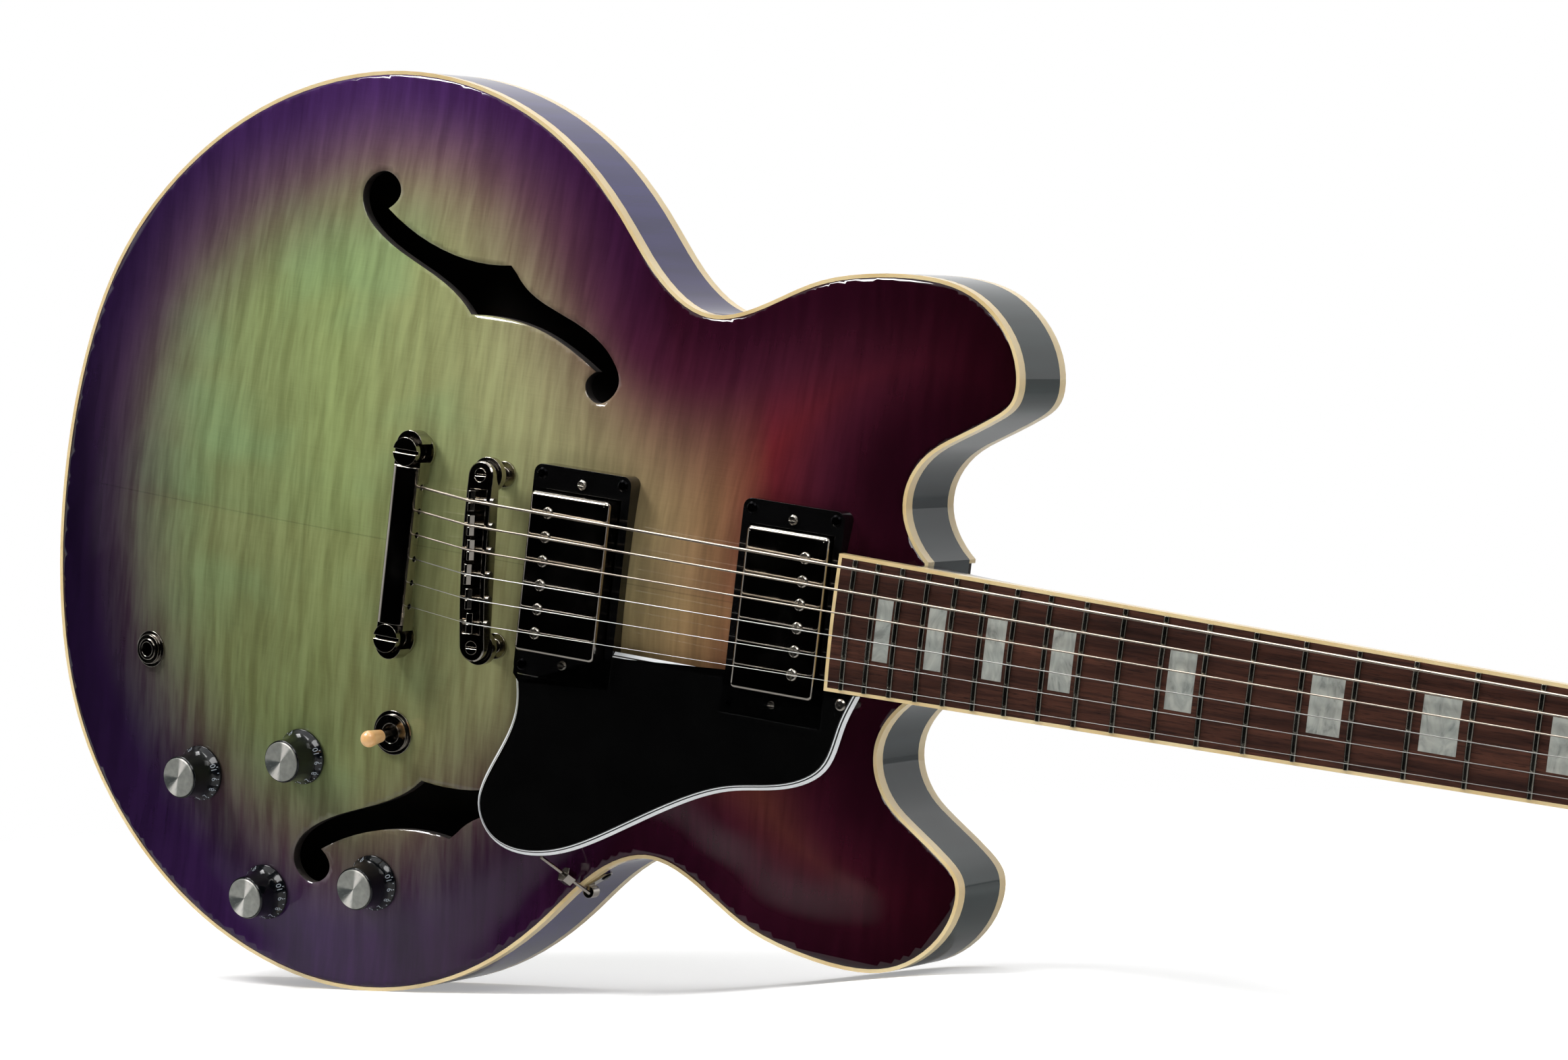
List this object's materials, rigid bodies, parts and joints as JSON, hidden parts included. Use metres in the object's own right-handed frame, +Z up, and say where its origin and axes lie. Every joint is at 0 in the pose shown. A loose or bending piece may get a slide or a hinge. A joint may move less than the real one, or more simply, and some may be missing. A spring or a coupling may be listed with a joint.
{
  "type": "semi-hollow electric guitar",
  "caption": "Thin semi-hollow electric guitar resting on its side: bound arched body with sound holes, covered pickups, stop tailpiece, glued neck and turning tuners.",
  "frame": {"origin": "the lowest point of the lower bout's treble side, on the floor, at the middle of the rim's depth", "axes": "+X towards the headstock, -Y out of the arched top, +Z up; the guitar rests on its treble side"},
  "size_m": [1.0521, 0.1399, 0.4047],
  "materials": {
    "top_maple": "gloss lacquer",
    "side_maple": "gloss lacquer",
    "back_maple": "gloss lacquer",
    "block_wood": "bare",
    "neck_wood": "gloss lacquer",
    "rosewood": "oiled",
    "binding": "polished",
    "pearl": "pearl",
    "bone": "polished",
    "nickel": "polished nickel",
    "nickel_silver": "polished",
    "string_steel": "drawn",
    "rod_steel": "plain",
    "black_plastic": "polished",
    "coil_black": "matt",
    "knob_black": "polished",
    "cream_plastic": "polished",
    "pot_metal": "plain"
  },
  "bodies": {
    "guitar": {"top_plate": "top_maple", "back_plate": "back_maple", "rim_bass": "side_maple", "rim_treble": "side_maple", "body_binding": "binding", "centre_block": "block_wood", "neck": "neck_wood", "truss_rod": "rod_steel", "truss_rod_cover": "black_plastic", "position_inlays": "pearl", "fretboard": "rosewood", "fretboard_binding": "binding", "frets": "nickel_silver", "nut": "bone", "tuner_housings": "nickel", "strings": "string_steel", "bridge_body": "nickel", "bridge_posts": "nickel", "saddle_screws": "nickel", "tailpiece": "nickel", "tailpiece_studs": "nickel", "bridge_pickup_ring": "black_plastic", "neck_pickup_ring": "black_plastic", "pickup_height_screws": "nickel", "wood_screws": "rod_steel", "pickguard": "black_plastic", "pickguard_bracket": "nickel", "potentiometers": "pot_metal", "toggle_switch": "nickel", "output_jack": "nickel", "strap_buttons": "nickel"},
    "tuner_button_1": {"tuner_button_1": "nickel"},
    "tuner_post_1": {"tuner_post_1": "nickel"},
    "tuner_button_2": {"tuner_button_2": "nickel"},
    "tuner_post_2": {"tuner_post_2": "nickel"},
    "tuner_button_3": {"tuner_button_3": "nickel"},
    "tuner_post_3": {"tuner_post_3": "nickel"},
    "tuner_button_4": {"tuner_button_4": "nickel"},
    "tuner_post_4": {"tuner_post_4": "nickel"},
    "tuner_button_5": {"tuner_button_5": "nickel"},
    "tuner_post_5": {"tuner_post_5": "nickel"},
    "tuner_button_6": {"tuner_button_6": "nickel"},
    "tuner_post_6": {"tuner_post_6": "nickel"},
    "saddle_1": {"saddle_1": "nickel"},
    "saddle_2": {"saddle_2": "nickel"},
    "saddle_3": {"saddle_3": "nickel"},
    "saddle_4": {"saddle_4": "nickel"},
    "saddle_5": {"saddle_5": "nickel"},
    "saddle_6": {"saddle_6": "nickel"},
    "knob_bridge_tone": {"knob_bridge_tone": "knob_black"},
    "knob_bridge_volume": {"knob_bridge_volume": "knob_black"},
    "knob_neck_tone": {"knob_neck_tone": "knob_black"},
    "knob_neck_volume": {"knob_neck_volume": "knob_black"},
    "toggle_lever": {"toggle_lever": "cream_plastic"},
    "bridge_pickup": {"bridge_pickup_cover": "nickel", "bridge_pickup_coils": "coil_black", "bridge_pickup_pole_screws": "nickel"},
    "neck_pickup": {"neck_pickup_cover": "nickel", "neck_pickup_coils": "coil_black", "neck_pickup_pole_screws": "nickel"}
  },
  "joints": [
    {"name": "tuner_button_1_turn", "type": "hinge", "parent": "guitar", "child": "tuner_button_1", "pos_m": [0.75174, 0.04263, 0.10662], "axis": [0.1649, 0, 0.9863], "continuous": true},
    {"name": "tuner_post_1_turn", "type": "hinge", "parent": "guitar", "child": "tuner_post_1", "pos_m": [0.75176, 0.02148, 0.10662], "axis": [0.3227, -0.9449, -0.0539], "continuous": true},
    {"name": "tuner_button_2_turn", "type": "hinge", "parent": "guitar", "child": "tuner_button_2", "pos_m": [0.78995, 0.05605, 0.10023], "axis": [0.1649, 0, 0.9863], "continuous": true},
    {"name": "tuner_post_2_turn", "type": "hinge", "parent": "guitar", "child": "tuner_post_2", "pos_m": [0.78997, 0.03489, 0.10023], "axis": [0.3227, -0.9449, -0.0539], "continuous": true},
    {"name": "tuner_button_3_turn", "type": "hinge", "parent": "guitar", "child": "tuner_button_3", "pos_m": [0.82816, 0.06946, 0.09385], "axis": [0.1649, 0, 0.9863], "continuous": true},
    {"name": "tuner_post_3_turn", "type": "hinge", "parent": "guitar", "child": "tuner_post_3", "pos_m": [0.82818, 0.04831, 0.09384], "axis": [0.3227, -0.9449, -0.0539], "continuous": true},
    {"name": "tuner_button_4_turn", "type": "hinge", "parent": "guitar", "child": "tuner_button_4", "pos_m": [0.81876, 0.06946, 0.03763], "axis": [-0.1649, 0, -0.9863], "continuous": true},
    {"name": "tuner_post_4_turn", "type": "hinge", "parent": "guitar", "child": "tuner_post_4", "pos_m": [0.81879, 0.04831, 0.03762], "axis": [0.3227, -0.9449, -0.0539], "continuous": true},
    {"name": "tuner_button_5_turn", "type": "hinge", "parent": "guitar", "child": "tuner_button_5", "pos_m": [0.78055, 0.05605, 0.04401], "axis": [-0.1649, 0, -0.9863], "continuous": true},
    {"name": "tuner_post_5_turn", "type": "hinge", "parent": "guitar", "child": "tuner_post_5", "pos_m": [0.78058, 0.03489, 0.04401], "axis": [0.3227, -0.9449, -0.0539], "continuous": true},
    {"name": "tuner_button_6_turn", "type": "hinge", "parent": "guitar", "child": "tuner_button_6", "pos_m": [0.74234, 0.04263, 0.0504], "axis": [-0.1649, 0, -0.9863], "continuous": true},
    {"name": "tuner_post_6_turn", "type": "hinge", "parent": "guitar", "child": "tuner_post_6", "pos_m": [0.74236, 0.02148, 0.0504], "axis": [0.3227, -0.9449, -0.0539], "continuous": true},
    {"name": "saddle_1_slide", "type": "slide", "parent": "guitar", "child": "saddle_1", "axis": [0.9949, 0, -0.1009], "range_m": [-0.0014, 0.0014]},
    {"name": "saddle_2_slide", "type": "slide", "parent": "guitar", "child": "saddle_2", "axis": [0.9949, 0, -0.1009], "range_m": [-0.0014, 0.0014]},
    {"name": "saddle_3_slide", "type": "slide", "parent": "guitar", "child": "saddle_3", "axis": [0.9949, 0, -0.1009], "range_m": [-0.0014, 0.0014]},
    {"name": "saddle_4_slide", "type": "slide", "parent": "guitar", "child": "saddle_4", "axis": [0.9949, 0, -0.1009], "range_m": [-0.0014, 0.0014]},
    {"name": "saddle_5_slide", "type": "slide", "parent": "guitar", "child": "saddle_5", "axis": [0.9949, 0, -0.1009], "range_m": [-0.0014, 0.0014]},
    {"name": "saddle_6_slide", "type": "slide", "parent": "guitar", "child": "saddle_6", "axis": [0.9949, 0, -0.1009], "range_m": [-0.0014, 0.0014]},
    {"name": "knob_bridge_tone_turn", "type": "hinge", "parent": "guitar", "child": "knob_bridge_tone", "pos_m": [-0.08974, -0.02525, 0.09631], "axis": [-0.0916, -0.9928, -0.0766], "range_deg": [-270, 0]},
    {"name": "knob_bridge_volume_turn", "type": "hinge", "parent": "guitar", "child": "knob_bridge_volume", "pos_m": [-0.02988, -0.03021, 0.10434], "axis": [-0.0411, -0.9948, -0.0929], "range_deg": [-270, 0]},
    {"name": "knob_neck_tone_turn", "type": "hinge", "parent": "guitar", "child": "knob_neck_tone", "pos_m": [-0.05752, -0.02274, 0.04327], "axis": [-0.0544, -0.9921, -0.1132], "range_deg": [-270, 0]},
    {"name": "knob_neck_volume_turn", "type": "hinge", "parent": "guitar", "child": "knob_neck_volume", "pos_m": [0.00287, -0.02486, 0.04858], "axis": [-0.0058, -0.9935, -0.1139], "range_deg": [-270, 0]},
    {"name": "toggle_throw", "type": "hinge", "parent": "guitar", "child": "toggle_lever", "pos_m": [0.02081, -0.02715, 0.11559], "axis": [0.9863, 0.0073, -0.1645], "range_deg": [-13, 13]},
    {"name": "bridge_pickup_height", "type": "slide", "parent": "guitar", "child": "bridge_pickup", "axis": [0.0585, -0.9982, -0.0098], "range_m": [-0.0025, 0.001]},
    {"name": "neck_pickup_height", "type": "slide", "parent": "guitar", "child": "neck_pickup", "axis": [0.0585, -0.9982, -0.0098], "range_m": [-0.0025, 0.001]}
  ],
  "couplings": [
    {"joint": "tuner_post_1_turn", "follows": "tuner_button_1_turn", "ratio": 0.071429},
    {"joint": "tuner_post_2_turn", "follows": "tuner_button_2_turn", "ratio": 0.071429},
    {"joint": "tuner_post_3_turn", "follows": "tuner_button_3_turn", "ratio": 0.071429},
    {"joint": "tuner_post_4_turn", "follows": "tuner_button_4_turn", "ratio": 0.071429},
    {"joint": "tuner_post_5_turn", "follows": "tuner_button_5_turn", "ratio": 0.071429},
    {"joint": "tuner_post_6_turn", "follows": "tuner_button_6_turn", "ratio": 0.071429}
  ]
}
